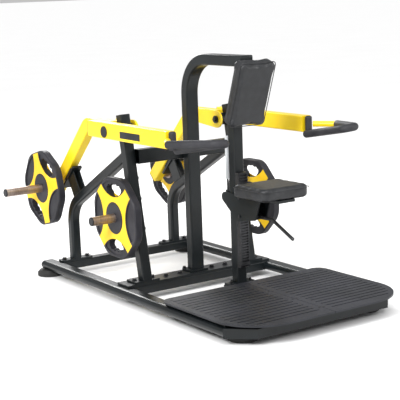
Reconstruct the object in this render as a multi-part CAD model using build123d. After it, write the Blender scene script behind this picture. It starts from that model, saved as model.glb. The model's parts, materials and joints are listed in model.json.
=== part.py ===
"""Plate-loaded seated dip machine, in millimetres, +Z up.

Design datum: X = 0 is the symmetry plane, Y = 0 is the front face of the middle
crossbar, Z = 0 is the floor. The user sits facing -Y, the weight horns are at +Y.
"left" is the -X side. Before export the whole machine is moved along Y so that the
origin is the centre of its footprint.
"""
import os
from math import cos, radians, sin, tan

from build123d import *

# ---- overall layout -----------------------------------------------------------
rail_outer_x = 540.0        # outer face of the floor rails
rail_width = 95.0
rail_height = 50.0
rail_wall = 3.0
foot_height = 36.0
rail_rear_y = 958.0
rail_front_y = -960.0
mid_bar_depth = 120.0
rear_bar_depth = 60.0
leg_center_y = 840.0        # rear legs and the rear crossbar
sole_thickness = 14.0
sole_half_length = 490.0
flange_thickness = 12.0
bolt_size = 16.0
bolt_head_height = 10.0
nip = 0.5                   # air gap between pieces that pass each other

# ---- platform -------------------------------------------------------------------
platform_front_y = -1155.0
platform_rear_y = -396.0
platform_half_width = 540.0
platform_top_z = 112.0
tread_thickness = 10.0
tread_corner = 260.0
tread_rear_corner = 60.0
tread_seam = 3.0
slot_count = 16
slot_height = 9.0
slot_depth = 4.0
platform_tube = 60.0
platform_overhang = 75.0    # how far the tread runs past the front tube
platform_mitre = 120.0

# ---- feet -------------------------------------------------------------------------
foot_radius = 77.0
foot_x = 500.0
front_foot_x = 400.0
front_foot_y = -930.0
rear_foot_y = 915.0

# ---- centre post, arch and seat post ----------------------------------------------
post_width = 80.0
post_depth = 58.0
post_center_y = 59.0
arch_top_z = 1342.0
arch_radius = 200.0
strut_top_y = -462.0        # centre of the strut under the arch bar
strut_lean = 20.0           # degrees, top forward
seat_post_width = 60.0
seat_post_depth = 60.0
seat_post_center_y = -365.0
post_wall = 3.0
rack_width = 59.0
rack_depth = 30.0
rack_bottom_z = 200.0
rack_top_z = 720.0
tooth_pitch = 15.0
tooth_height = 7.0

# ---- pads -----------------------------------------------------------------------------
pad_width = 243.0
pad_height = 373.0
pad_thickness = 82.0
pad_corner = 30.0
pad_center_y = -541.0       # middle of the pad's front face
pad_center_z = 1134.0
pad_lean = 20.0
seat_width = 325.0
seat_length = 287.0
seat_thickness = 68.0
seat_top_z = 687.0
seat_front_y = -810.0
seat_front_corner = 45.0
seat_rear_corner = 25.0

# ---- side frames ----------------------------------------------------------------------
side_x = 360.0              # centre plane of uprights, rear legs and arm rears
tube_size = 60.0
tube_wall = 3.0
tube_corner = 8.0
upright_foot_y = 30.0
upright_top_y = 192.7
upright_top_z = 1015.0
leg_bend_radius = 180.0
leg_slope = 28.6            # degrees above horizontal of the leg's upper run
leg_knee_z = 423.0
tie_height = 80.0
tie_center_z = 790.0

# ---- arms -----------------------------------------------------------------------------
pivot_y = 207.0
pivot_z = 934.0
arm_height = 90.0
arm_width = 60.0
arm_wall = 4.0
arm_center_z = 940.0
arm_outer_x = 476.0
arm_front_y = -420.0
outer_tube_rear_y = 390.0
yoke_front_y = 277.0
inner_plate_x = 281.0       # inner face of the fork's inner plate
inner_plate_thickness = 10.0
rear_tube_height = 80.0
rear_knee_y = 574.0
rear_bend_radius = 75.0
arm_horn_y = 1000.0
arm_horn_z = 525.0
rear_tube_overhang = 42.0    # tube past the horn axis
axle_radius = 15.0
axle_clearance = 0.05
bearing_outer_radius = 26.0
housing_radius = 35.0
bearing_length = 30.0
cap_radius = 32.0
badge_length = 205.0
badge_height = 37.0
badge_center_y = -66.0
badge_center_z = 931.0

# ---- arm stops -------------------------------------------------------------------------
stop_distance = 420.0       # along the sloping rear tube from its knee
stop_rubber_height = 20.0
stop_plate = 12.0
stop_width = 64.0
stop_length = 200.0

# ---- handles ---------------------------------------------------------------------------
rail_radius = 16.0
grip_radius = 21.0
grip_nose_x = 410.0
grip_nose_y = -785.0
grip_nose_z = 950.0
grip_nose_radius = 36.0
grip_outer_x = 555.0
grip_outer_y = -545.0
grip_outer_z = 937.0
grip_inner_x = 427.0
grip_inner_y = -432.0
grip_inner_z = 884.0
stub_top_z = 985.0
stub_y = -438.0

# ---- horns and weight plates -----------------------------------------------------------
horn_radius = 25.0
horn_cap_length = 8.0
collar_radius = 48.0
collar_thickness = 8.0
plate_radius = 235.0
plate_thickness = 45.0
plate_bore_gap = 0.5        # radial
arm_plate_outer_x = 486.0
arm_horn_tip_x = 730.0
storage_horn_y = 115.0
storage_horn_z = 465.0
storage_plate_outer_x = 491.0
storage_horn_tip_x = 640.0
groove_width = 2.0
groove_depth = 0.6
arm_plate_turn = 15.0

# ---- weight plate details ----------------------------------------------------------------
hub_radius = 88.0
bore_radius = horn_radius + plate_bore_gap
star_inset = 2.0
star_proud = 0.6
star_gap = 0.4
bay_radius = 171.0
bay_distance = 289.0
pocket_depth = 5.0
plate_corner = 105.0
grip_inner_r = 118.0
grip_outer_r = 186.0
grip_half_angle = 26.0
grip_finger_radius = 11.0
grip_finger_step = 11.0     # degrees

# ---- seat carriage ------------------------------------------------------------------------
cheek_thickness = 7.0
cheek_gap = 1.0
lug_z = 604.0
rear_roller_radius = 20.0
rear_roller_z = 562.0
roller_y = seat_post_center_y - seat_post_depth / 2 - rack_depth - 9.5
pan_thickness = 14.0
pan_half_width = 60.0
pan_front_inset = 18.0      # pan's front edge behind the cushion's
pan_rear_inset = 22.0       # pan's rear edge ahead of the front rollers
rib_height = 40.0
rib_front_y = -590.0
front_roller_radius = 8.5
front_roller_z = (590.0, 489.0)
roller_head_radius = 9.0
roller_head_length = 6.0
cross_tube_y = -578.0
cross_tube_z = 588.0
cross_tube_radius = 9.0
lever_y = -545.0
lever_z = 497.0
lever_bend_y = -667.0
lever_bend_z = 500.0
lever_tip_y = -834.0
lever_tip_z = 423.0
lever_radius = 9.0
pin_radius = 5.0
pawl_gap = 11.0
strut_y = seat_post_center_y + seat_post_depth / 2 + 52
strut_radius = 10.0
strut_rod_radius = 5.0
strut_bottom_z = 672.0
strut_top_z = 905.0
strut_rod_overlap = 75.0    # from the barrel's top down to the end of the rod
clamp_half_width = 14.0
clamp_top_drop = 30.0
clamp_thickness = 20.0

# ---- small sizes ---------------------------------------------------------------------------
end_cap_length = 12.0
foot_chamfer = 14.0
washer_thickness = 2.5
flange_corner = 8.0
upright_flange_half = 80.0
leg_flange_half = 105.0
slot_margin = 75.0          # plain border of the foot plate
screw_radius = 5.0
screw_height = 1.6
collar_step = 10.0          # how much the boss behind a collar is smaller
housing_outer_reach = 14.0  # bearing housing past the upright's outer face
housing_inner_reach = 29.0
stop_rubber_width = 46.0
stop_rubber_length = 110.0
stop_cheek_thickness = 8.0
horn_plate_half = 55.0
horn_plate_thickness = 8.0
bracket_width = 90.0
bracket_height = 260.0
bracket_reach = 60.0
stub_sleeve_radius = 19.0
grip_end_round = 12.0
link_bolt_z = (390.0, 555.0, 668.0)

os.makedirs("parts", exist_ok=True)
nodes = {}
SIDES = (("left", -1), ("right", 1))
rail_top_z = foot_height + rail_height
sole_top_z = rail_top_z + sole_thickness
tread_bottom_z = platform_top_z - tread_thickness


# ---- helpers ---------------------------------------------------------------------------
def block(x0, x1, y0, y1, z0, z1):
    size = (abs(x1 - x0), abs(y1 - y0), abs(z1 - z0))
    return Pos((x0 + x1) / 2, (y0 + y1) / 2, (z0 + z1) / 2) * Box(*size)


def rod(start, end, radius):
    start = Vector(*start)
    run = Vector(*end) - start
    disc = Plane(origin=start, z_dir=run) * Circle(radius)
    return extrude(disc, run.length, dir=run.normalized())


def x_rod(x0, x1, y, z, radius):
    return rod((min(x0, x1), y, z), (max(x0, x1), y, z), radius)


def tube_section(path, width, height, wall, corner):
    """Outer and inner faces square to the start of a path that lies in a YZ plane."""
    start = Plane(origin=path @ 0, x_dir=(1, 0, 0), z_dir=path % 0)
    outer = start * RectangleRounded(width, height, corner)
    inner = start * RectangleRounded(width - 2 * wall, height - 2 * wall, max(corner - wall, 1))
    return outer, inner


def swept_tube(path, width, height, wall, corner=tube_corner):
    outer, inner = tube_section(path, width, height, wall, corner)
    return sweep(outer, path=path) - sweep(inner, path=path)


def swept_bar(path, width, height, corner=tube_corner):
    outer, _ = tube_section(path, width, height, 1, corner)
    return sweep(outer, path=path)


def yz_outline(points, x, thickness):
    """Flat plate through (y, z) points, from x to x + thickness."""
    face = make_face(Polyline(*[(x, y, z) for y, z in points], close=True))
    return extrude(face, thickness, dir=(1, 0, 0))


def yz_hull(circles, x, thickness):
    """Plate whose outline wraps (y, z, radius) circles, from x to x + thickness."""
    plane = Plane(origin=(x, 0, 0), x_dir=(0, 1, 0), z_dir=(1, 0, 0))
    rims = [Pos(y, z) * Circle(radius) for y, z, radius in circles]
    outline = make_hull([edge for rim in rims for edge in rim.edges()])
    return extrude(plane * outline, thickness, dir=(1, 0, 0))


def hex_bolt(x, y, z, size=bolt_size):
    """Washer and domed cap head standing on z."""
    washer = Pos(x, y, z) * Cylinder(size, washer_thickness, align=(Align.CENTER, Align.CENTER, Align.MIN))
    head = extrude(Pos(x, y, z + washer_thickness) * RegularPolygon(size * 0.82, 6), bolt_head_height)
    head = chamfer(head.faces().sort_by(Axis.Z)[-1].edges(), 1.5)
    return washer + head


def mirrored(part, side):
    return part if side < 0 else mirror(part, about=Plane.YZ)


def group(parts):
    return Compound([solid for part in parts for solid in part.solids()])


def keep(name, part):
    part.label = name
    nodes[name] = part


# ---- base ------------------------------------------------------------------------------
def base_frame():
    rail_x = rail_outer_x - rail_width / 2
    rail_z = foot_height + rail_height / 2
    end_caps = []
    for side, sign in SIDES:
        section = Plane(origin=(sign * rail_x, rail_front_y, rail_z), x_dir=(1, 0, 0), z_dir=(0, 1, 0))
        outer = section * SlotOverall(rail_width, rail_height)
        inner = section * SlotOverall(rail_width - 2 * rail_wall, rail_height - 2 * rail_wall)
        length = rail_rear_y - rail_front_y - end_cap_length
        keep("base_rail_" + side, extrude(outer - inner, length, dir=(0, 1, 0)))
        seat = Plane(origin=(sign * rail_x, rail_rear_y - end_cap_length, rail_z), x_dir=(1, 0, 0), z_dir=(0, 1, 0))
        cap = extrude(seat * SlotOverall(rail_width, rail_height), end_cap_length, dir=(0, 1, 0))
        end_caps.append(fillet(cap.faces().sort_by(Axis.Y)[-1].edges(), 8))
    keep("rail_end_caps", group(end_caps))
    inner_x = rail_outer_x - rail_width
    flat_x = inner_x + rail_height / 2 - 1
    keep("mid_crossbar", crossbar(0, mid_bar_depth, flat_x))
    rear_y = leg_center_y - rear_bar_depth / 2
    keep("rear_crossbar", crossbar(rear_y, rear_y + rear_bar_depth, flat_x))
    sole = block(-sole_half_length, sole_half_length, 0, mid_bar_depth, rail_top_z, sole_top_z)
    keep("sole_beam", fillet(sole.edges().filter_by(Axis.Z), 6))


def crossbar(y0, y1, half_length):
    """Rectangular tube between the rails, its ends coped round them."""
    z0 = foot_height
    bar = block(-half_length, half_length, y0, y1, z0, z0 + rail_height)
    bar = fillet(bar.edges().filter_by(Axis.X), 5)
    inset = rail_wall
    bar -= block(-half_length, half_length, y0 + inset, y1 - inset, z0 + inset, z0 + rail_height - inset)
    for sign in (-1, 1):
        bar -= rail_envelope(sign, y0 - 5, y1 + 5)
    return bar


def feet():
    pads = []
    places = ((front_foot_x, front_foot_y), (foot_x, rear_foot_y))
    for x, y in places:
        for _, sign in SIDES:
            pad = Pos(sign * x, y, 0) * Cylinder(foot_radius, foot_height,
                                                 align=(Align.CENTER, Align.CENTER, Align.MIN))
            pad = chamfer(pad.faces().sort_by(Axis.Z)[-1].edges(), foot_chamfer)
            pads.append(fillet(pad.faces().sort_by(Axis.Z)[0].edges(), 3))
    keep("rubber_feet", group(pads))


# ---- platform --------------------------------------------------------------------------
def rail_envelope(sign, y0, y1):
    """Solid version of a floor rail, used to cope what meets it."""
    plane = Plane(origin=(sign * (rail_outer_x - rail_width / 2), y0, foot_height + rail_height / 2),
                  x_dir=(1, 0, 0), z_dir=(0, 1, 0))
    return extrude(plane * SlotOverall(rail_width, rail_height), y1 - y0, dir=(0, 1, 0))


def front_frame():
    """Front tube with angled corner tubes that run on from the rails."""
    front = platform_front_y + platform_overhang
    inner_x = rail_outer_x - rail_width
    corner_x = rail_outer_x - platform_mitre
    inner_y = front + platform_tube
    inner_corner = inner_x - (rail_front_y - inner_y)
    outline = Polyline((-rail_outer_x, rail_front_y), (-corner_x, front), (corner_x, front),
                       (rail_outer_x, rail_front_y), (inner_x, rail_front_y), (inner_corner, inner_y),
                       (-inner_corner, inner_y), (-inner_x, rail_front_y), close=True)
    ring = extrude(Pos(0, 0, foot_height) * make_face(outline), rail_height)
    y_mid = front_foot_y - 10
    for sign in (-1, 1):
        ring += Pos(sign * (front_foot_x + 10), y_mid, foot_height + 3) * Box(150, 150, 6)
    return ring


def platform():
    """Tube frame under the foot plate, and packing strips that carry the plate."""
    front = platform_front_y + platform_overhang
    rear_y = seat_post_center_y + seat_post_depth / 2
    tube = platform_tube
    inner_x = rail_outer_x - rail_width
    rear = block(-inner_x - 24, inner_x + 24, rear_y - tube, rear_y, foot_height, rail_top_z)
    spine = block(-tube / 2, tube / 2, front + tube - 1, rear_y - tube + 1, foot_height, rail_top_z)
    frame = front_frame() + rear + spine
    mid_rail = rail_outer_x - rail_width / 2
    for x in (-mid_rail, 0, mid_rail):
        frame += block(x - 20, x + 20, rail_front_y + 20, rear_y - tube - 15, rail_top_z, tread_bottom_z)
    frame += block(-330, 330, front + 8, front + tube - 8, rail_top_z, tread_bottom_z)
    frame += block(-85, 85, rear_y - tube, rear_y, rail_top_z, tread_bottom_z)
    for sign in (-1, 1):
        frame -= rail_envelope(sign, rail_front_y, 0)
    keep("platform_frame", group([frame]))


def tread(sign):
    """One half of the foot plate with its pressed slots, which end in half rounds."""
    width = platform_half_width - tread_seam / 2
    x_mid = sign * (platform_half_width + tread_seam / 2) / 2
    y_mid = (platform_front_y + platform_rear_y) / 2
    length = platform_rear_y - platform_front_y
    sheet = Pos(x_mid, y_mid, platform_top_z - tread_thickness / 2) * Box(width, length, tread_thickness)
    outer_edges = sheet.edges().filter_by(Axis.Z).sort_by(lambda e: sign * e.center().X)[-2:]
    sheet = fillet(outer_edges.sort_by(Axis.Y)[0], tread_corner)
    rear_edge = sheet.edges().filter_by(Axis.Z).filter_by(
        lambda e: sign * e.center().X > width - 1 and e.center().Y > platform_rear_y - 1)
    sheet = fillet(rear_edge, tread_rear_corner)
    pitch = (length - 2 * slot_margin) / (slot_count - 1)
    for row in range(slot_count):
        y = platform_front_y + slot_margin + row * pitch
        reach = width - slot_margin - corner_inset(y)
        slot = Pos(sign * (40 + reach / 2), y, platform_top_z) * SlotOverall(reach, slot_height)
        sheet -= extrude(slot, -slot_depth)
    return sheet


def corner_inset(y):
    """How far the rounded front corner takes a slot's end in."""
    into = tread_corner - (y - platform_front_y)
    if into <= 0:
        return 0
    return tread_corner - (tread_corner ** 2 - into ** 2) ** 0.5


def treads():
    for side, sign in SIDES:
        keep("tread_" + side, tread(sign))
    screws = []
    half = rail_outer_x - rail_width / 2
    front = platform_front_y + platform_overhang + platform_tube / 2
    rows = (platform_rear_y - 40, -640, -840)
    for _, sign in SIDES:
        spots = [(sign * x, y) for y in rows for x in (14, half)]
        spots += [(sign * 14, front), (sign * 260, front)]
        for x, y in spots:
            screw = Cylinder(screw_radius, screw_height, align=(Align.CENTER, Align.CENTER, Align.MIN))
            screws.append(Pos(x, y, platform_top_z) * screw)
    keep("tread_screws", group(screws))


# ---- centre structure ------------------------------------------------------------------
def arch():
    """Centre post, arch bar and the leaning strut in one welded tube."""
    bar_z = arch_top_z - post_depth / 2
    lean = radians(strut_lean)
    base_z = sole_top_z + flange_thickness
    post = FilletPolyline((0, post_center_y, base_z), (0, post_center_y, bar_z), (0, strut_top_y + 20, bar_z),
                          radius=arch_radius)
    bar = swept_tube(post, post_width, post_depth, post_wall)
    drop = bar_z - strut_low_z()
    low_y = strut_top_y + drop * tan(lean)
    strut_path = Line((0, strut_top_y, bar_z), (0, low_y, strut_low_z()))
    outer, inner = tube_section(strut_path, seat_post_width, seat_post_depth, post_wall, tube_corner)
    solid_bar = swept_bar(post, post_width, post_depth)
    strut = sweep(outer, path=strut_path) - sweep(inner, path=strut_path) - solid_bar
    nose = block(-post_width / 2, post_width / 2, strut_top_y - 22, strut_top_y + 20,
                 arch_top_z - post_depth, arch_top_z)
    nose = fillet(nose.edges().filter_by(Axis.X).sort_by(Axis.Y)[:2], 10)
    strut -= block(-100, 100, strut_top_y - 200, strut_top_y + 200, arch_top_z - post_depth, arch_top_z + 100)
    below = seat_post_solid()
    flange = block(-62, 62, post_center_y - 42, post_center_y + 55, sole_top_z, base_z)
    flange = fillet(flange.edges().filter_by(Axis.Z), flange_corner)
    welded = bar + (nose - solid_bar) + (strut - below) + flange
    keep("arch_post", largest(welded))


def strut_low_z():
    """Height at which the leaning strut's axis meets the seat post's axis."""
    return arch_top_z - post_depth / 2 - (seat_post_center_y - strut_top_y) / tan(radians(strut_lean))


def seat_post_top_z():
    return strut_low_z() - 6


def seat_post_solid():
    half_w = seat_post_width / 2
    half_d = seat_post_depth / 2
    return block(-half_w, half_w, seat_post_center_y - half_d, seat_post_center_y + half_d,
                 tread_bottom_z, seat_post_top_z())


def largest(part):
    return part.solids().sort_by(SortBy.VOLUME)[-1]


def seat_post():
    half_w = seat_post_width / 2
    half_d = seat_post_depth / 2
    z0 = tread_bottom_z
    post = fillet(seat_post_solid().edges().filter_by(Axis.Z), tube_corner)
    post -= block(-half_w + post_wall, half_w - post_wall, seat_post_center_y - half_d + post_wall,
                  seat_post_center_y + half_d - post_wall, z0 + flange_thickness, seat_post_top_z() - 4)
    foot = block(-80, 80, seat_post_center_y - half_d + nip, seat_post_center_y + half_d, z0, z0 + flange_thickness)
    keep("seat_post", largest(post + foot))
    front = seat_post_center_y - half_d
    count = int((rack_top_z - rack_bottom_z - 40) / tooth_pitch)
    rack = block(-rack_width / 2, rack_width / 2, front - rack_depth, front, rack_bottom_z, rack_top_z)
    rack = fillet(rack.edges().filter_by(Axis.X).sort_by(Axis.Y)[:1], rack_depth / 2)
    for tooth in range(count):
        z = rack_bottom_z + 35 + tooth * tooth_pitch
        gap = block(-rack_width / 2 + 6, rack_width / 2 - 6, front - rack_depth, front - rack_depth + 9,
                    z, z + tooth_pitch - tooth_height)
        rack -= gap
    keep("adjust_rack", rack)


# ---- pads ------------------------------------------------------------------------------
def back_pad():
    """Pad on its board, leaning with its top forward, and the bracket behind it."""
    lean = radians(pad_lean)
    normal = Vector(0, -cos(lean), -sin(lean))
    face = Plane(origin=(0, pad_center_y, pad_center_z), x_dir=(1, 0, 0), z_dir=normal)
    pad = extrude(face * RectangleRounded(pad_width, pad_height, pad_corner), -pad_thickness)
    pad = fillet(pad.faces().sort_by(lambda f: f.center().dot(normal))[-1].edges(), 16)
    keep("back_pad", pad)
    back = Plane(origin=face.origin - normal * pad_thickness, x_dir=(1, 0, 0), z_dir=normal)
    bracket = extrude(back * RectangleRounded(bracket_width, bracket_height, 10), -bracket_reach)
    bracket -= strut_envelope()
    bracket -= seat_post_solid()
    keep("pad_bracket", bracket.solids().sort_by(lambda s: s.center().Y)[0])


def strut_envelope():
    """Everything from the strut's front face rearwards."""
    lean = radians(strut_lean)
    bar_z = arch_top_z - post_depth / 2
    normal = Vector(0, cos(lean), sin(lean))
    middle = Vector(0, strut_top_y, bar_z) - normal * (seat_post_depth / 2)
    plane = Plane(origin=middle, x_dir=(1, 0, 0), z_dir=normal)
    return extrude(plane * Rectangle(400, 1600), 400, dir=normal)


# ---- side frames -----------------------------------------------------------------------
def upright_axis_y(z):
    """Y of the leaning upright's axis at height z."""
    foot_z = sole_top_z + flange_thickness
    return upright_foot_y + (upright_top_y - upright_foot_y) * (z - foot_z) / (upright_top_z - foot_z)


def upright_path():
    low_z = sole_top_z - 40
    return Line((-side_x, upright_axis_y(low_z), low_z), (-side_x, upright_top_y, upright_top_z))


def side_frame(side, sign):
    path = upright_path()
    floor = block(-side_x - 100, -side_x + 100, -200, 300, -50, sole_top_z + flange_thickness)
    outer = swept_bar(path, tube_size, tube_size) - floor
    hollow = swept_bar(path, tube_size - 2 * tube_wall, tube_size - 2 * tube_wall, 4) - floor
    housing = x_rod(-side_x - tube_size / 2 - housing_outer_reach, -side_x + tube_size / 2 + housing_inner_reach,
                    pivot_y, pivot_z, housing_radius)
    bore = x_rod(-side_x - 200, -side_x + 200, pivot_y, pivot_z, bearing_outer_radius)
    foot = block(-side_x - upright_flange_half, -side_x + upright_flange_half, 0, mid_bar_depth - 16,
                 sole_top_z, sole_top_z + flange_thickness)
    foot = fillet(foot.edges().filter_by(Axis.Z), flange_corner)
    keep("upright_" + side, mirrored(largest((outer - hollow) + housing + foot - bore), sign))
    rear_leg(side, sign, outer + housing)


def leg_path():
    slope = radians(leg_slope)
    reach = leg_center_y - upright_top_y + 40
    knee = (-side_x, leg_center_y, leg_knee_z)
    top = (-side_x, leg_center_y - reach, leg_knee_z + reach * tan(slope))
    base = (-side_x, leg_center_y, rail_top_z + flange_thickness)
    return FilletPolyline(base, knee, top, radius=leg_bend_radius)


def rear_leg(side, sign, upright):
    leg = swept_tube(leg_path(), tube_size, tube_size, tube_wall, 16) - upright
    leg = leg.solids().sort_by(Axis.Y)[-1]
    base_z = rail_top_z + flange_thickness
    foot = block(-side_x - leg_flange_half, -side_x + leg_flange_half, leg_center_y - 29, leg_center_y + 29,
                 rail_top_z, base_z)
    foot = fillet(foot.edges().filter_by(Axis.Z), flange_corner)
    keep("rear_leg_" + side, mirrored(largest(leg + foot), sign))


def tie():
    """Bar behind the centre post that joins both uprights."""
    rear = post_center_y + post_depth / 2
    reach = side_x - tube_size / 2
    bar = block(-reach, reach, rear, rear + tube_size, tie_center_z - tie_height / 2, tie_center_z + tie_height / 2)
    bar = fillet(bar.edges().filter_by(Axis.X), tube_corner)
    bar -= block(-reach, reach, rear + tube_wall, rear + tube_size - tube_wall,
                 tie_center_z - tie_height / 2 + tube_wall, tie_center_z + tie_height / 2 - tube_wall)
    keep("tie_bar", bar)


def stops():
    """Plate under each arm's rear tube on two cheeks from the rear leg, with a rubber block."""
    run = arm_rear_direction()
    up = Vector(0, -run.Z, run.Y)
    middle = Vector(0, rear_knee_y, arm_center_z) + run * stop_distance - up * (rear_tube_height / 2 + nip)
    leg = swept_bar(leg_path(), tube_size, tube_size, 16)
    brackets = []
    blocks = []
    for _, sign in SIDES:
        plane = Plane(origin=middle + Vector(-side_x, 0, 0), x_dir=(1, 0, 0), z_dir=up)
        rubber = extrude(plane * RectangleRounded(stop_rubber_width, stop_rubber_length, 8), -stop_rubber_height)
        blocks.append(mirrored(rubber, sign))
        seat = middle - up * stop_rubber_height
        seat_plane = Plane(origin=seat + Vector(-side_x, 0, 0), x_dir=(1, 0, 0), z_dir=up)
        bracket = extrude(seat_plane * RectangleRounded(stop_width, stop_length, 8), -stop_plate)
        low = seat - up * (stop_plate - 1)
        upper = low - run * 70
        lower = low + run * 15
        corners = [(upper.Y, upper.Z), (lower.Y, lower.Z), (lower.Y - 75, lower.Z - 125),
                   (upper.Y - 100, upper.Z - 160)]
        for offset_x in (-24, 16):
            bracket += yz_outline(corners, -side_x + offset_x, stop_cheek_thickness)
        brackets.append(mirrored((bracket - leg).solids().sort_by(Axis.Z)[-1], sign))
    keep("stop_brackets", group(brackets))
    keep("stop_rubbers", group(blocks))


def storage_horn(sign):
    """Horn on a foot plate bolted to the upright's outer face."""
    x0 = side_x + tube_size / 2
    z0 = storage_horn_z - horn_plate_half
    z1 = storage_horn_z + horn_plate_half
    corners = [(upright_axis_y(z0) - 28, z0), (upright_axis_y(z0) + 34, z0),
               (upright_axis_y(z1) + 48, z1), (upright_axis_y(z1) - 28, z1)]
    plate = yz_outline(corners, -x0 - horn_plate_thickness, horn_plate_thickness)
    shoulder = storage_plate_outer_x - plate_thickness - nip
    collar = x_rod(-shoulder, -x0 - 7, storage_horn_y, storage_horn_z, collar_radius - collar_step)
    collar += x_rod(-shoulder, -shoulder + collar_thickness, storage_horn_y, storage_horn_z, collar_radius)
    horn = x_rod(-storage_horn_tip_x + horn_cap_length, -x0 - 7, storage_horn_y, storage_horn_z, horn_radius)
    horn -= groove(storage_plate_outer_x, storage_horn_y, storage_horn_z)
    return mirrored(plate + collar + horn, sign)


def groove(plate_outer_x, y, z):
    """Shallow ring that parts the free stretch of a horn from the stretch in the plate."""
    x = plate_outer_x + 1
    ring = x_rod(-x - groove_width, -x, y, z, horn_radius + 1)
    return ring - x_rod(-x - groove_width - 1, -x + 1, y, z, horn_radius - groove_depth)


def horn_cap(tip_x, y, z, sign):
    cap = x_rod(-tip_x, -tip_x + horn_cap_length, y, z, horn_radius - 0.3)
    return mirrored(chamfer(cap.faces().sort_by(Axis.X)[0].edges(), 3), sign)


# ---- weight plates ---------------------------------------------------------------------
def rim_flat():
    """Distance from the axis to the middle of a flat of the octagonal rim."""
    return plate_radius * cos(radians(22.5)) + 6


def plate_blank(thickness):
    blank = RegularPolygon(plate_radius + 6, 8, rotation=22.5)
    return fillet(extrude(blank, thickness).edges().filter_by(Axis.Z), plate_corner)


def star_face(shrink=0.0):
    """Four arms with flat tips at the rim, parted by four round bays."""
    reach = rim_flat() - 7 - shrink
    face = Rectangle(2 * reach, 2 * reach)
    for quarter in range(4):
        face -= Rot(0, 0, 45 + 90 * quarter) * Pos(bay_distance, 0) * Circle(bay_radius + shrink)
    return face - Circle(hub_radius + 1.5 + shrink)


def bay_pocket():
    """Recess that fills one bay between two star arms."""
    bay = Pos(bay_distance, 0) * Circle(bay_radius - 7)
    pocket = extrude(bay & Circle(plate_radius - 26), 20)
    return fillet(pocket.edges().filter_by(Axis.Z), 9)


def grip_hole(thickness):
    """Hand opening with a scalloped outer edge for the fingers."""
    sector = Circle(grip_outer_r) - Circle(grip_inner_r)
    reach = grip_outer_r * 2
    wedge = make_face(Polyline((0, 0), (reach, -reach * tan(radians(grip_half_angle))),
                               (reach, reach * tan(radians(grip_half_angle))), close=True))
    opening = extrude(sector & wedge, thickness + 2)
    opening = fillet(opening.edges().filter_by(Axis.Z), 12)
    for finger in range(4):
        angle = (finger - 1.5) * grip_finger_step
        spot = Rot(0, 0, angle) * Pos(grip_outer_r - 4, 0)
        opening += extrude(spot * Circle(grip_finger_radius), thickness + 2)
    return opening


def weight_plate(name, sign, outer_x, y, z, turn):
    """Rubber plate and its star inlay. turn is the angle of the first star arm."""
    blank = plate_blank(plate_thickness)
    rim = blank.faces().sort_by(Axis.Z)
    blank = chamfer(rim[-1].edges() + rim[0].edges(), 5)
    low = Pos(0, 0, -1)
    recess = extrude(Pos(0, 0, plate_thickness - star_inset) * star_face(), star_inset + 1)
    body = blank - recess - extrude(low * star_face(), star_inset + 1)
    for quarter in range(4):
        turned = Rot(0, 0, 45 + 90 * quarter)
        body -= Pos(0, 0, plate_thickness - pocket_depth) * turned * bay_pocket()
        body -= Pos(0, 0, pocket_depth - 20) * turned * bay_pocket()
        if quarter % 2 == 0:
            body -= Pos(0, 0, -1) * turned * grip_hole(plate_thickness)
    inlay = star_face(star_gap)
    star = [extrude(Pos(0, 0, plate_thickness - star_inset) * inlay, star_inset + star_proud),
            extrude(inlay, star_inset)]
    hub = Cylinder(hub_radius - 3, 2, align=(Align.CENTER, Align.CENTER, Align.MIN))
    hub = Pos(0, 0, plate_thickness) * hub
    hub = chamfer(hub.faces().sort_by(Axis.Z)[-1].edges(), 1)
    drill = Cylinder(bore_radius, plate_thickness + 20, align=(Align.CENTER, Align.CENTER, Align.MIN))
    body = body + hub - Pos(0, 0, -5) * drill
    place = Plane(origin=(-outer_x + plate_thickness, y, z), x_dir=(0, 1, 0), z_dir=(-1, 0, 0))
    spin = place * Rot(0, 0, turn)
    keep(name + "_plate", mirrored(spin * largest(body), sign))
    keep(name + "_star", group([mirrored(spin * layer, sign) for layer in star]))


# ---- arms ------------------------------------------------------------------------------
def arm_rear_direction():
    """Unit vector down the sloping rear tube."""
    return Vector(0, arm_horn_y - rear_knee_y, arm_horn_z - arm_center_z).normalized()


def arm_rear_path(extra=0.0):
    knee = Vector(-side_x, rear_knee_y, arm_center_z)
    tip = Vector(-side_x, arm_horn_y, arm_horn_z) + arm_rear_direction() * (rear_tube_overhang + extra)
    return FilletPolyline((-side_x, yoke_front_y, arm_center_z), knee, tip, radius=rear_bend_radius)


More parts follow.
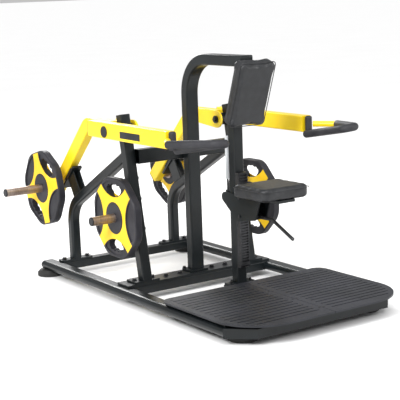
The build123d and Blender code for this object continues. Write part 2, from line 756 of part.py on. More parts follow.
def arm_body(sign):
    """Welded arm: outer tube, spacers, inner fork plate and the bent rear tube."""
    outer_center = arm_outer_x - arm_width / 2
    line = Line((-outer_center, arm_front_y, arm_center_z), (-outer_center, outer_tube_rear_y, arm_center_z))
    tube = swept_tube(line, arm_width, arm_height, arm_wall)
    rear = swept_tube(arm_rear_path(), tube_size, rear_tube_height, arm_wall)
    sleeve = x_rod(-arm_outer_x, -arm_outer_x + arm_width, pivot_y, pivot_z, axle_radius + 9)
    front_lid = block(-side_x - tube_size / 2 + 1, -side_x + tube_size / 2 - 1, yoke_front_y, yoke_front_y + 5,
                      arm_center_z - rear_tube_height / 2 + 1, arm_center_z + rear_tube_height / 2 - 1)
    inner_x = inner_plate_x + inner_plate_thickness
    half = rear_tube_height / 2 - tube_corner
    y0 = yoke_front_y + 3
    y1 = outer_tube_rear_y - 5
    plate = yz_hull([(pivot_y, pivot_z, 50), (y1 - 5, arm_center_z - 20, 20), (y1 - 5, arm_center_z + 20, 20)],
                    -inner_x, inner_plate_thickness)
    tube += block(-arm_outer_x + 1, -arm_outer_x + arm_width - 1, arm_front_y, arm_front_y + 5,
                  arm_center_z - arm_height / 2 + 1, arm_center_z + arm_height / 2 - 1)
    arm = tube + rear + sleeve + front_lid + plate
    for x0, x1 in ((-arm_outer_x + arm_width - 1, -side_x - tube_size / 2 + 1),
                   (-side_x + tube_size / 2 - 1, -inner_x + 1)):
        arm += block(x0, x1, y0, y1, arm_center_z - half, arm_center_z + half)
    arm -= x_rod(-600, -100, pivot_y, pivot_z, axle_radius)
    return mirrored(largest(arm), sign)


def arm_end_caps(sign):
    """Plugs on the rear tube's end and on the outer tube's rear end."""
    path = arm_rear_path()
    run = arm_rear_direction()
    plane = Plane(origin=path @ 1, x_dir=(1, 0, 0), z_dir=run)
    cap = extrude(plane * RectangleRounded(tube_size, rear_tube_height, tube_corner), 6)
    outer_center = arm_outer_x - arm_width / 2
    rear = Plane(origin=(-outer_center, outer_tube_rear_y, arm_center_z), x_dir=(1, 0, 0), z_dir=(0, 1, 0))
    plug = extrude(rear * RectangleRounded(arm_width, arm_height, tube_corner), 4)
    return [mirrored(cap, sign), mirrored(plug, sign)]


def handle_points():
    nose = Vector(-grip_nose_x, grip_nose_y, grip_nose_z)
    outer = Vector(-grip_outer_x, grip_outer_y, grip_outer_z)
    inner = Vector(-grip_inner_x, grip_inner_y, grip_inner_z)
    tip_out = nose + Vector(-grip_nose_radius, -grip_nose_radius, 4)
    tip_in = nose + Vector(grip_nose_radius, -grip_nose_radius, 0)
    return outer, tip_out, tip_in, inner


def round_sweep(path, radius):
    return sweep(Plane(origin=path @ 0, z_dir=path % 0) * Circle(radius), path=path)


def rounded_ends(bar, ends, radius):
    """Rounds the rims of a round bar at the given end points."""
    rims = [edge for edge in bar.edges().filter_by(GeomType.CIRCLE)
            if min((edge.arc_center - Vector(*end)).length for end in ends) < 1]
    return fillet(rims, radius)


def handle(side, sign):
    """Bent handle rail: yellow where it is bare, sleeved with a long rubber grip."""
    outer, tip_out, tip_in, inner = handle_points()
    loop = FilletPolyline(outer, tip_out, tip_in, inner, radius=grip_nose_radius * 0.9)
    root = Vector(-arm_outer_x + 0.2, outer.Y + 105, outer.Z)
    neck = Vector(-(arm_outer_x + 26), outer.Y + 75, outer.Z)
    bare = FilletPolyline(root, neck, outer, radius=30)
    core = round_sweep(bare, rail_radius)
    grip = rounded_ends(round_sweep(loop, grip_radius), (outer, inner), grip_end_round)
    stub_x = -arm_outer_x + arm_width / 2
    foot = (stub_x, stub_y, inner.Z + 5)
    top = (stub_x, stub_y, stub_top_z)
    sleeve = grip + rounded_ends(rod(foot, top, stub_sleeve_radius), (top,), grip_end_round)
    sleeve -= block(-600, -300, arm_front_y, arm_front_y + 200, arm_center_z - arm_height / 2, 1100)
    core = core - sleeve
    core = core - block(-arm_outer_x, -300, arm_front_y, arm_front_y + 300, 800, 1100)
    keep("handle_rail_" + side, mirrored(largest(core), sign))
    keep("handle_grip_" + side, mirrored(largest(sleeve), sign))


def pivot_parts(side, sign):
    x_out = -arm_outer_x
    x_in = -inner_plate_x
    axle = x_rod(x_out + 6, x_in + 4, pivot_y, pivot_z, axle_radius - axle_clearance)
    head = x_rod(x_in, x_in + 10, pivot_y, pivot_z, 22)
    head -= x_rod(x_in - 1, x_in + 4, pivot_y, pivot_z, axle_radius)
    nut = extrude(Plane(origin=(x_in + 10, pivot_y, pivot_z), x_dir=(0, 1, 0), z_dir=(1, 0, 0))
                  * RegularPolygon(14, 6), 9)
    keep("pivot_axle_" + side, mirrored(largest(axle + head + nut), sign))
    cap = x_rod(x_out - 6, x_out, pivot_y, pivot_z, cap_radius)
    cap = chamfer(cap.faces().sort_by(Axis.X)[0].edges(), 2)
    plug = x_rod(x_out, x_out + 6, pivot_y, pivot_z, axle_radius - 0.2)
    badge = block(x_out - 1.5, x_out, badge_center_y - badge_length / 2, badge_center_y + badge_length / 2,
                  badge_center_z - badge_height / 2, badge_center_z + badge_height / 2)
    badge = fillet(badge.edges().filter_by(Axis.X), 3)
    horn_end = horn_cap(arm_horn_tip_x, arm_horn_y, arm_horn_z, sign)
    trim = [mirrored(cap + plug, sign), mirrored(badge, sign), horn_end] + arm_end_caps(sign)
    keep("arm_trim_" + side, group(trim))


def bearings():
    rings = []
    x_a = side_x + tube_size / 2 + housing_outer_reach
    x_b = side_x - tube_size / 2 - housing_inner_reach
    for _, sign in SIDES:
        for x0, x1 in ((-x_a, -x_a + bearing_length), (-x_b - bearing_length, -x_b)):
            ring = x_rod(x0, x1, pivot_y, pivot_z, bearing_outer_radius)
            ring -= x_rod(x0 - 1, x1 + 1, pivot_y, pivot_z, axle_radius)
            rings.append(mirrored(ring, sign))
    keep("pivot_bearings", group(rings))


def arm_horn(side, sign):
    """Horn welded through the rear tube, with the shoulder the plate rests against."""
    x0 = side_x + tube_size / 2
    shoulder = arm_plate_outer_x - plate_thickness - nip
    collar = x_rod(-shoulder, -x0, arm_horn_y, arm_horn_z, collar_radius - collar_step)
    collar += x_rod(-shoulder, -shoulder + collar_thickness, arm_horn_y, arm_horn_z, collar_radius)
    bar = x_rod(-arm_horn_tip_x + horn_cap_length, -x0, arm_horn_y, arm_horn_z, horn_radius)
    bar -= groove(arm_plate_outer_x, arm_horn_y, arm_horn_z)
    keep("arm_horn_" + side, mirrored(collar + bar, sign))


# ---- seat carriage ---------------------------------------------------------------------
def seat_bottom_z():
    return seat_top_z - seat_thickness


def pan_bottom_z():
    return seat_bottom_z() - pan_thickness


def carriage():
    """Two cheeks beside the post, tied by cross tubes, and the pan under the seat."""
    x_in = seat_post_width / 2 + cheek_gap
    z_top = pan_bottom_z()
    outline = [(strut_y - 20, 578, 28), (-420, 482, 22), (-560, 505, 22), (-590, z_top - 20, 20)]
    body = yz_hull(outline, -x_in - cheek_thickness, cheek_thickness)
    body += yz_hull(outline, x_in, cheek_thickness)
    body += x_rod(-x_in - 1, x_in + 1, cross_tube_y, cross_tube_z, cross_tube_radius)
    body += x_rod(-x_in - 1, x_in + 1, lever_y, lever_z, pin_radius)
    pan_rear_y = roller_y - pan_rear_inset
    pan = block(-pan_half_width, pan_half_width, seat_front_y + pan_front_inset, pan_rear_y, z_top, seat_bottom_z())
    body += fillet(pan.edges().filter_by(Axis.Z), 10)
    for x in (-x_in - cheek_thickness, x_in):
        body += block(x, x + cheek_thickness, rib_front_y, pan_rear_y, z_top - rib_height, z_top)
    body += x_rod(-10, 10, strut_y, lug_z, 9)
    body += block(-5, 5, strut_y - 8, strut_y + 8, lug_z - 14, lug_z)
    body += x_rod(-x_in - 1, x_in + 1, strut_y + 2, lug_z - 15, 5)
    keep("seat_carriage", largest(body))
    carriage_wheels(x_in)


def carriage_wheels(x_in):
    """Rollers before and behind the post, with the heads of the front axles, and the strut's rod."""
    rollers = []
    for z in front_roller_z:
        rollers.append(x_rod(-x_in + 1, x_in - 1, roller_y, z, front_roller_radius))
        for sign in (-1, 1):
            x_face = sign * (x_in + cheek_thickness)
            rollers.append(x_rod(x_face, x_face + sign * roller_head_length, roller_y, z, roller_head_radius))
    rear = seat_post_center_y + seat_post_depth / 2
    rollers.append(x_rod(-x_in + 1, x_in - 1, rear + rear_roller_radius + nip, rear_roller_z, rear_roller_radius))
    keep("carriage_rollers", group(rollers))
    keep("strut_rod", rod((0, strut_y, lug_z + 9), (0, strut_y, strut_top_z - strut_rod_overlap), strut_rod_radius))


def gas_strut():
    barrel = rod((0, strut_y, strut_bottom_z), (0, strut_y, strut_top_z), strut_radius)
    barrel -= rod((0, strut_y, strut_bottom_z - 1), (0, strut_y, strut_top_z - 10), strut_rod_radius + 0.05)
    rear = seat_post_center_y + seat_post_depth / 2
    clamp_top = strut_top_z - clamp_top_drop
    clamp = block(-clamp_half_width, clamp_half_width, rear, strut_y + clamp_half_width,
                  clamp_top - clamp_thickness, clamp_top)
    clamp -= rod((0, strut_y, strut_top_z - 60), (0, strut_y, strut_top_z), strut_radius)
    keep("strut_barrel", barrel)
    keep("strut_clamp", clamp)


def seat_cushion():
    z0 = seat_bottom_z()
    cushion = block(-seat_width / 2, seat_width / 2, seat_front_y, seat_front_y + seat_length, z0, seat_top_z)
    corners = cushion.edges().filter_by(Axis.Z).sort_by(Axis.Y)
    cushion = fillet(corners[:2], seat_front_corner)
    back = cushion.edges().filter_by(Axis.Z).sort_by(Axis.Y)[-2:]
    cushion = fillet(back, seat_rear_corner)
    cushion = fillet(cushion.faces().sort_by(Axis.Z)[-1].edges(), 14)
    keep("seat_cushion", cushion)


def seat_lever():
    """Hub on a pin between the cheeks, with the bent hand rod in front and the pawl behind."""
    hub = x_rod(-22, 22, lever_y, lever_z, 15)
    bend = (0, lever_bend_y, lever_bend_z)
    tip = (0, lever_tip_y, lever_tip_z)
    arm = round_sweep(FilletPolyline((0, lever_y, lever_z), bend, tip, radius=25), lever_radius)
    arm += Pos(*tip) * Sphere(lever_radius)
    rack_front = seat_post_center_y - seat_post_depth / 2 - rack_depth
    pawl = rod((0, lever_y, lever_z), (0, rack_front - pawl_gap, lever_z + 35), 7)
    pin_hole = x_rod(-30, 30, lever_y, lever_z, pin_radius + 0.05)
    keep("seat_lever", largest(hub + arm + pawl - pin_hole))


# ---- fasteners and small caps -------------------------------------------------------------
def fasteners():
    bolts = []
    sole_flange = sole_top_z + flange_thickness
    for x in (-52, 52):
        bolts.append(hex_bolt(x, post_center_y + 42, sole_flange, 12))
    for x in (-side_x - 58, -side_x + 58, side_x - 58, side_x + 58):
        bolts.append(hex_bolt(x, 52, sole_flange))
    for x in (-205, 205, -110, 110):
        bolts.append(hex_bolt(x, 60, sole_top_z))
    for sign in (-1, 1):
        for x in (side_x - 78, side_x + 78):
            bolts.append(hex_bolt(sign * x, leg_center_y, rail_top_z + flange_thickness))
        for x in (45, 66):
            bolts.append(hex_bolt(sign * x, seat_post_center_y + (14 if x < 60 else -8),
                                  tread_bottom_z + flange_thickness, 8))
    for sign in (-1, 1):
        for z in link_bolt_z:
            y = upright_axis_y(z)
            x_face = sign * (side_x - tube_size / 2)
            bolts.append(x_rod(x_face, x_face - sign * 12, y, z, 11))
    keep("frame_bolts", group(bolts))


def tube_caps():
    caps = []
    run = Vector(0, upright_top_y - upright_foot_y, upright_top_z - sole_top_z).normalized()
    for _, sign in SIDES:
        top = Vector(sign * side_x, upright_top_y, upright_top_z) + run * 0.02
        plane = Plane(origin=top, x_dir=(1, 0, 0), z_dir=run)
        cap = extrude(plane * RectangleRounded(tube_size, tube_size, tube_corner), 5)
        caps.append(fillet(cap.faces().sort_by(Axis.Z)[-1].edges(), 2))
        caps.append(horn_cap(storage_horn_tip_x, storage_horn_y, storage_horn_z, sign))
    keep("tube_and_horn_caps", group(caps))


# ---- build -----------------------------------------------------------------------------
def build():
    base_frame()
    feet()
    platform()
    treads()
    arch()
    seat_post()
    back_pad()
    for side, sign in SIDES:
        side_frame(side, sign)
        keep("storage_horn_" + side, storage_horn(sign))
        keep("arm_" + side, arm_body(sign))
        handle(side, sign)
        pivot_parts(side, sign)
        arm_horn(side, sign)
        weight_plate("arm_" + side, sign, arm_plate_outer_x, arm_horn_y, arm_horn_z, arm_plate_turn)
        weight_plate("storage_" + side, sign, storage_plate_outer_x, storage_horn_y, storage_horn_z, 45)
    tie()
    stops()
    bearings()
    carriage()
    gas_strut()
    seat_cushion()
    seat_lever()
    fasteners()
    tube_caps()


def export():
    boxes = [part.bounding_box() for part in nodes.values()]
    rear = max(box.max.Y for box in boxes)
    front = min(box.min.Y for box in boxes)
    shift = -(rear + front) / 2
    for name, part in nodes.items():
        export_step(Pos(0, shift, 0) * part, f"parts/{name}.step")
    print("footprint shift", round(shift, 3), "pivot", round(pivot_y + shift, 3), pivot_z)
    print("arm horn", round(arm_horn_y + shift, 3), arm_horn_z, "nodes", len(nodes))


build()
export()
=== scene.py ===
"""Looks of the seated dip machine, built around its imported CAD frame."""
import json
from math import cos, radians, sin

import bmesh
import bpy
from mathutils import Matrix, Vector


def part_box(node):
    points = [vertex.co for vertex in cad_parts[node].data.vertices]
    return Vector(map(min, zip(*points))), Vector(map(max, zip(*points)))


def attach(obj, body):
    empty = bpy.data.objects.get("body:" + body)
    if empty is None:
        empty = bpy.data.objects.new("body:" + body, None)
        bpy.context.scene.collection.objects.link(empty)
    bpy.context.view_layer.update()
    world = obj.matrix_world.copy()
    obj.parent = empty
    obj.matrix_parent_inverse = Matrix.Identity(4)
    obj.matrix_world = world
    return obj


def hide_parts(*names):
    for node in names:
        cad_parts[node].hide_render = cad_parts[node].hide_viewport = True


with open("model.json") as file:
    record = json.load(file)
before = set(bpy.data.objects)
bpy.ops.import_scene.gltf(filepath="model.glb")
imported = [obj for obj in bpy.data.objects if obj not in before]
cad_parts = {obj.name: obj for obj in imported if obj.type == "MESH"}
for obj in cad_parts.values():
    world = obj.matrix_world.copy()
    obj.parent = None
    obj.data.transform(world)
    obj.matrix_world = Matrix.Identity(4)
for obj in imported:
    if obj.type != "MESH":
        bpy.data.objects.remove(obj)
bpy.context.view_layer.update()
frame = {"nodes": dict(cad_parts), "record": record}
nodes = frame["nodes"]


# ---- camera and light ------------------------------------------------------------------
FLOOR_SHIFT = -0.0381           # Y of the middle crossbar's front face in the frame
CAMERA_PLACE = Vector((-3.6139, -5.3452 + FLOOR_SHIFT, 1.6878))
CAMERA_YAW = radians(34.101)
CAMERA_PITCH = radians(10.289)
CAMERA_ROLL = radians(-2.064)
CAMERA_LENS = 104.46
SENSOR_WIDTH = 36
WORLD_STRENGTH = 0.55
SUN_ENERGY = 2.3
SUN_ANGLE = radians(60)
SUN_TURN = (radians(28), radians(-16), 0)
MACHINE_MIDDLE = (0, 0, 0.6)


def add_camera():
    level = cos(CAMERA_PITCH)
    forward = Vector((sin(CAMERA_YAW) * level, cos(CAMERA_YAW) * level, -sin(CAMERA_PITCH)))
    right = forward.cross(Vector((0, 0, 1))).normalized()
    up = right.cross(forward)
    tilted_right = cos(CAMERA_ROLL) * right + sin(CAMERA_ROLL) * up
    tilted_up = cos(CAMERA_ROLL) * up - sin(CAMERA_ROLL) * right
    data = bpy.data.cameras.new("camera")
    data.lens = CAMERA_LENS
    data.sensor_width = SENSOR_WIDTH
    camera = bpy.data.objects.new("camera", data)
    bpy.context.scene.collection.objects.link(camera)
    turn = Matrix((tilted_right, tilted_up, -forward)).transposed().to_4x4()
    camera.matrix_world = Matrix.Translation(CAMERA_PLACE) @ turn
    bpy.context.scene.camera = camera


def add_area_light(name, place, target, size, power):
    data = bpy.data.lights.new(name, "AREA")
    data.shape = "DISK"
    data.size = size
    data.energy = power
    lamp = bpy.data.objects.new(name, data)
    bpy.context.scene.collection.objects.link(lamp)
    lamp.location = place
    lamp.rotation_euler = (Vector(target) - Vector(place)).to_track_quat("-Z", "Y").to_euler()


def add_studio():
    """White surroundings, a wide soft sun for the floor and three panels for the gloss."""
    scene = bpy.context.scene
    scene.view_settings.view_transform = "Standard"
    world = bpy.data.worlds.new("studio")
    scene.world = world
    world.use_nodes = True
    background = world.node_tree.nodes["Background"]
    background.inputs["Color"].default_value = (1, 1, 1, 1)
    background.inputs["Strength"].default_value = WORLD_STRENGTH
    sun_data = bpy.data.lights.new("soft_sun", "SUN")
    sun_data.energy = SUN_ENERGY
    sun_data.angle = SUN_ANGLE
    sun = bpy.data.objects.new("soft_sun", sun_data)
    sun.rotation_euler = SUN_TURN
    scene.collection.objects.link(sun)
    add_area_light("key_light", (-4.5, -2.0, 3.4), MACHINE_MIDDLE, 1.6, 240)
    add_area_light("fill_light", (4.2, -3.6, 2.4), MACHINE_MIDDLE, 2.0, 90)
    add_area_light("rim_light", (1.5, 5.0, 3.2), MACHINE_MIDDLE, 2.0, 140)


# ---- shader sockets as values ----------------------------------------------------------
class Value:
    """A socket whose sums and products add Math nodes to its material."""

    def __init__(self, paint, socket):
        self.paint = paint
        self.socket = socket

    def _math(self, operation, *values):
        return self.paint.node("ShaderNodeMath", {"operation": operation}, *values)

    def __add__(self, other):
        return self._math("ADD", self, other)

    def __radd__(self, other):
        return self._math("ADD", other, self)

    def __sub__(self, other):
        return self._math("SUBTRACT", self, other)

    def __mul__(self, other):
        return self._math("MULTIPLY", self, other)

    def __rmul__(self, other):
        return self._math("MULTIPLY", other, self)

    def ramp(self, low, high):
        """0 below low, 1 above high."""
        return self.paint.node("ShaderNodeMapRange", {"clamp": True}, self, low, high, 0.0, 1.0)


class Paint:
    """One material and the few node patterns this machine's finishes need."""

    def __init__(self, name):
        self.material = bpy.data.materials.new(name)
        self.material.use_nodes = True
        self.tree = self.material.node_tree
        self.shader = self.tree.nodes["Principled BSDF"]
        self.place = self.node("ShaderNodeTexCoord", {}, output="Object")

    def node(self, kind, settings, *values, output=0, **named):
        made = self.tree.nodes.new(kind)
        for key, value in settings.items():
            setattr(made, key, value)
        for key, value in list(enumerate(values)) + list(named.items()):
            self.feed(made.inputs[key], value)
        return Value(self, made.outputs[output])

    def feed(self, socket, value):
        if isinstance(value, Value):
            self.tree.links.new(value.socket, socket)
        else:
            socket.default_value = value

    def noise(self, scale, detail=2.0, stretch=(1, 1, 1)):
        place = self.node("ShaderNodeMapping", {}, self.place, Scale=stretch)
        return self.node("ShaderNodeTexNoise", {}, Vector=place, Scale=scale, Detail=detail)

    def cells(self, scale, feature="F1"):
        return self.node("ShaderNodeTexVoronoi", {"feature": feature}, Vector=self.place, Scale=scale)

    def blend(self, mask, low, high):
        made = self.tree.nodes.new("ShaderNodeMix")
        made.data_type = "RGBA"
        for key, value in ((0, mask), (6, low), (7, high)):
            self.feed(made.inputs[key], value)
        return Value(self, made.outputs[2])

    def height(self, value, distance, strength=1.0):
        self.feed(self.shader.inputs["Normal"],
                  self.node("ShaderNodeBump", {}, Strength=strength, Distance=distance, Height=value))

    def set(self, **values):
        for key, value in values.items():
            self.feed(self.shader.inputs[key.replace("_", " ")], value)
        return self.material


def powder_coat(name, dark, light, roughness, grain=0.00015, gloss=0.5):
    """Satin powder coat: fine orange peel, a slight cloudiness and dull spots."""
    paint = Paint(name)
    paint.shader.inputs["Specular IOR Level"].default_value = gloss
    cloud = paint.noise(3.5, 3.0)
    peel = paint.noise(420, 1.5)
    scuff = paint.noise(38, 4.0, (1, 1, 0.35)).ramp(0.56, 0.74)
    paint.height(peel, grain, 0.35)
    return paint.set(Base_Color=paint.blend(cloud.ramp(0.35, 0.65), dark, light),
                     Roughness=roughness + 0.10 * scuff + 0.06 * cloud)


def rubber(name, dark, light, roughness, grain_scale, grain, gloss=0.3):
    paint = Paint(name)
    paint.shader.inputs["Specular IOR Level"].default_value = gloss
    cloud = paint.noise(9, 3.0)
    pores = paint.noise(grain_scale, 2.0)
    paint.height(pores, grain, 0.5)
    return paint.set(Base_Color=paint.blend(cloud.ramp(0.35, 0.7), dark, light),
                     Roughness=roughness + 0.12 * pores - 0.06 * cloud)


def brushed_steel(name, dark, light, roughness, along="x"):
    """Turned or drawn steel with fine rings across its length."""
    paint = Paint(name)
    stretch = (1, 0.03, 0.03) if along == "x" else (0.03, 0.03, 1)
    lines = paint.noise(900, 2.0, stretch)
    stain = paint.noise(14, 3.0)
    paint.height(lines, 0.00005, 0.25)
    return paint.set(Base_Color=paint.blend((lines * 0.6 + stain * 0.4).ramp(0.35, 0.65), dark, light),
                     Metallic=1.0, Roughness=roughness + 0.16 * lines + 0.08 * stain)


def leather(name, dark, light):
    paint = Paint(name)
    grain = paint.cells(420, "DISTANCE_TO_EDGE").ramp(0.0, 0.22)
    fold = paint.noise(26, 3.0)
    paint.height(grain * 0.7 + fold * 0.3, 0.00035, 0.5)
    return paint.set(Base_Color=paint.blend(fold.ramp(0.35, 0.7), dark, light),
                     Roughness=0.36 + 0.14 * fold + 0.06 * grain)


FINISHES = {
    "black_paint": lambda: powder_coat(
        "black_paint", (0.0035, 0.0048, 0.0055, 1), (0.008, 0.011, 0.0125, 1),
        0.27, gloss=0.32),
    "tread_black": lambda: powder_coat(
        "tread_black", (0.0125, 0.0135, 0.0165, 1), (0.026, 0.027, 0.034, 1),
        0.46, 0.0004, 0.30),
    "yellow_paint": lambda: powder_coat(
        "yellow_paint", (0.88, 0.60, 0.006, 1), (0.97, 0.71, 0.012, 1),
        0.30),
    "black_plastic": lambda: rubber(
        "black_plastic", (0.008, 0.009, 0.011, 1), (0.018, 0.019, 0.022, 1),
        0.40, 380, 0.0002),
    "foot_rubber": lambda: rubber(
        "foot_rubber", (0.016, 0.016, 0.016, 1), (0.034, 0.034, 0.033, 1),
        0.62, 300, 0.0004),
    "grip_rubber": lambda: rubber(
        "grip_rubber", (0.016, 0.016, 0.019, 1), (0.034, 0.034, 0.039, 1),
        0.55, 520, 0.0005),
    "plate_rubber": lambda: rubber(
        "plate_rubber", (0.011, 0.011, 0.015, 1), (0.026, 0.025, 0.031, 1),
        0.48, 350, 0.0004),
    "plate_yellow": lambda: rubber(
        "plate_yellow", (0.86, 0.52, 0.008, 1), (0.95, 0.63, 0.014, 1),
        0.42, 300, 0.0002),
    "bolt_steel": lambda: brushed_steel(
        "bolt_steel", (0.025, 0.026, 0.028, 1), (0.10, 0.10, 0.105, 1),
        0.32, "z"),
    "bearing_steel": lambda: brushed_steel(
        "bearing_steel", (0.36, 0.36, 0.37, 1), (0.58, 0.58, 0.59, 1),
        0.26),
    "horn_steel": lambda: brushed_steel(
        "horn_steel", (0.25, 0.19, 0.165, 1), (0.52, 0.43, 0.38, 1),
        0.30),
    "black_leather": lambda: leather(
        "black_leather", (0.0065, 0.0075, 0.0090, 1), (0.015, 0.016, 0.019, 1)),
    "strut_grey": lambda: powder_coat(
        "strut_grey", (0.44, 0.46, 0.48, 1), (0.58, 0.60, 0.62, 1),
        0.34),
}
finishes = {name: make() for name, make in FINISHES.items()}


def finish_cad_nodes():
    for part in frame["record"]["subparts"]:
        piece = nodes[part["node"]]
        piece.data.materials.clear()
        piece.data.materials.append(finishes[part["material_slot"]])


# ---- making pieces ---------------------------------------------------------------------
SHARP_ANGLE = radians(35)


def add_piece(name, mesh, body, slot):
    """Turns a finished bmesh into a piece that rides on a body."""
    data = bpy.data.meshes.new(name)
    mesh.to_mesh(data)
    mesh.free()
    for face in data.polygons:
        face.use_smooth = True
    data.set_sharp_from_angle(angle=SHARP_ANGLE)
    data.materials.append(finishes[slot])
    piece = bpy.data.objects.new(name, data)
    bpy.context.scene.collection.objects.link(piece)
    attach(piece, body)
    return piece


def apply_modifiers(piece):
    bpy.context.view_layer.update()
    graph = bpy.context.evaluated_depsgraph_get()
    mesh = bpy.data.meshes.new_from_object(piece.evaluated_get(graph))
    piece.modifiers.clear()
    piece.data = mesh


# ---- upholstery ------------------------------------------------------------------------
PAD_LEAN = radians(20)
PAD_SIZE = (0.243, 0.373, 0.082)
PAD_CORNER = 0.030
SEAT_CORNERS = 0.045
WELT_WIDTH = 0.005
WELT_HEIGHT = 0.0022
VOXEL = 0.005
SWELL = 0.006                   # how much smaller each cushion starts before it is stuffed
SWELL_LIMIT = 1.6               # furthest a point moves, in swells
CROWN = 0.55                    # height of the crown, in swells
CLOTH_PRESSURE = 4
CLOTH_STEPS = 20
PAD_WELT_INSET = 0.012
PAD_WELT_DROP = 0.013
SEAT_WELT_INSET = 0.008
SEAT_WELT_DROP = 0.016
WELT_CORNER_INSET = 0.006


def node_middle(node):
    low, high = (Vector(corner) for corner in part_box(node))
    return (low + high) / 2


def pad_frame():
    """Right, up the pad and out of its front face, from the middle of the pad."""
    up = Vector((0, -sin(PAD_LEAN), cos(PAD_LEAN)))
    out = Vector((0, -cos(PAD_LEAN), -sin(PAD_LEAN)))
    turn = Matrix((Vector((-1, 0, 0)), up, out)).transposed().to_4x4()
    return Matrix.Translation(node_middle("back_pad")) @ turn


def seat_frame():
    return Matrix.Translation(node_middle("seat_cushion"))


def cushion_copy(name, node):
    piece = bpy.data.objects.new(name, nodes[node].data.copy())
    bpy.context.scene.collection.objects.link(piece)
    mesh = bmesh.new()
    mesh.from_mesh(piece.data)
    bmesh.ops.remove_doubles(mesh, verts=mesh.verts, dist=1e-5)
    mesh.to_mesh(piece.data)
    mesh.free()
    piece.data.materials.clear()
    piece.data.materials.append(finishes["black_leather"])
    return piece


def blow_up(piece, cap):
    """Swells the cushion as cloth under pressure, moving no point further than cap."""
    before = [vertex.co.copy() for vertex in piece.data.vertices]
    cloth = piece.modifiers.new("cloth", "CLOTH")
    cloth.settings.use_pressure = True
    cloth.settings.uniform_pressure_force = CLOTH_PRESSURE
    cloth.settings.effector_weights.gravity = 0
    for step in range(1, CLOTH_STEPS + 1):
        bpy.context.scene.frame_set(step)
    apply_modifiers(piece)
    bpy.context.scene.frame_set(1)
    for vertex, start in zip(piece.data.vertices, before):
        move = vertex.co - start
        if move.length > cap:
            vertex.co = start + move.normalized() * cap


def stuffed(name, node, body, place, half):
    """A cushion that is crowned on top and kept within its CAD solid's thickness."""
    piece = cushion_copy(name, node)
    inward = place.inverted()
    shrink = [1 - SWELL / length for length in half]
    for vertex in piece.data.vertices:
        local = inward @ vertex.co
        vertex.co = place @ Vector([local[axis] * shrink[axis] for axis in range(3)])
    remesh = piece.modifiers.new("remesh", "REMESH")
    remesh.mode = "VOXEL"
    remesh.voxel_size = VOXEL
    apply_modifiers(piece)
    blow_up(piece, SWELL * SWELL_LIMIT)
    crown = SWELL * CROWN
    for vertex in piece.data.vertices:
        local = inward @ vertex.co
        x = local.x / half[0]
        y = local.y / half[1]
        if local.z > 0:
            local.z += crown * max(0, 1 - x * x) * max(0, 1 - y * y)
        local.z = min(max(local.z, -half[2]), half[2])
        vertex.co = place @ local
    soften = piece.modifiers.new("soften", "SMOOTH")
    soften.iterations = 4
    subdivide = piece.modifiers.new("finer", "SUBSURF")
    subdivide.levels = 1
    subdivide.render_levels = 1
    apply_modifiers(piece)
    for face in piece.data.polygons:
        face.use_smooth = True
    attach(piece, body)
    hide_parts(node)
    return piece


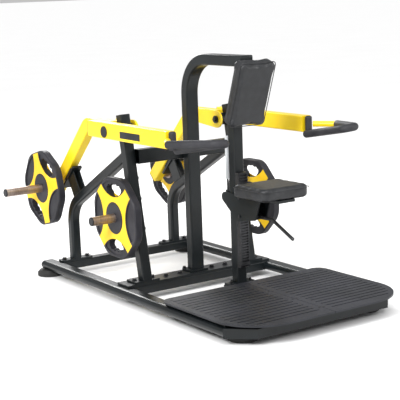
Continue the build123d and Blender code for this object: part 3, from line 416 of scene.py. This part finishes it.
def welt(name, body, place, size, corner, height):
    """Sewn welt round a cushion: a rounded frame of flattened piping."""
    mesh = bmesh.new()
    bmesh.ops.create_grid(mesh, x_segments=1, y_segments=1, size=0.5)
    bmesh.ops.scale(mesh, vec=(size[0], size[1], 1), verts=mesh.verts)
    bmesh.ops.bevel(mesh, geom=mesh.verts[:], offset=corner, affect="VERTICES", segments=8,
                    profile=0.5, material=-1)
    face = mesh.faces[:]
    bmesh.ops.inset_region(mesh, faces=face, thickness=WELT_WIDTH,
                           use_boundary=True, use_even_offset=True)
    bmesh.ops.delete(mesh, geom=face, context="FACES_ONLY")
    ring = mesh.faces[:]
    grown = bmesh.ops.extrude_face_region(mesh, geom=ring)
    lifted = [item for item in grown["geom"] if isinstance(item, bmesh.types.BMVert)]
    bmesh.ops.translate(mesh, vec=(0, 0, WELT_HEIGHT), verts=lifted)
    bmesh.ops.recalc_face_normals(mesh, faces=mesh.faces)
    sharp = [edge for edge in mesh.edges if edge.calc_face_angle(0) > radians(60)]
    bmesh.ops.bevel(mesh, geom=sharp, offset=WELT_HEIGHT * 0.4, affect="EDGES", segments=2,
                    profile=0.5, material=-1)
    bmesh.ops.translate(mesh, vec=(0, 0, height), verts=mesh.verts)
    bmesh.ops.transform(mesh, matrix=place, verts=mesh.verts)
    add_piece(name, mesh, body, "black_leather")


def upholster():
    pad_half = [length / 2 for length in PAD_SIZE]
    stuffed("back_pad_cover", "back_pad", "frame", pad_frame(), pad_half)
    low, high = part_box("seat_cushion")
    seat_size = [high[axis] - low[axis] for axis in range(3)]
    seat_half = [length / 2 for length in seat_size]
    stuffed("seat_cover", "seat_cushion", "seat_unit", seat_frame(), seat_half)
    pad_welt = [length - PAD_WELT_INSET for length in PAD_SIZE[:2]]
    welt("back_pad_front_welt", "frame", pad_frame(), pad_welt,
         PAD_CORNER - WELT_CORNER_INSET, pad_half[2] - PAD_WELT_DROP)
    seat_welt = [length - SEAT_WELT_INSET for length in seat_size[:2]]
    welt("seat_top_welt", "seat_unit", seat_frame(), seat_welt,
         SEAT_CORNERS - WELT_CORNER_INSET, seat_half[2] - SEAT_WELT_DROP)


# ---- floor -----------------------------------------------------------------------------
FLOOR_HALF_SIZE = 260
FLOOR_DARK = (0.86, 0.86, 0.86, 1)
FLOOR_LIGHT = (0.90, 0.90, 0.90, 1)


def add_floor():
    mesh = bmesh.new()
    bmesh.ops.create_grid(mesh, x_segments=1, y_segments=1, size=FLOOR_HALF_SIZE)
    data = bpy.data.meshes.new("floor")
    mesh.to_mesh(data)
    mesh.free()
    floor = bpy.data.objects.new("floor", data)
    bpy.context.scene.collection.objects.link(floor)
    paint = Paint("floor_white")
    cloud = paint.noise(0.8, 2.0)
    colour = paint.blend(cloud, FLOOR_DARK, FLOOR_LIGHT)
    floor.data.materials.append(paint.set(Base_Color=colour, Roughness=0.75))


add_camera()
add_studio()
finish_cad_nodes()
upholster()
add_floor()
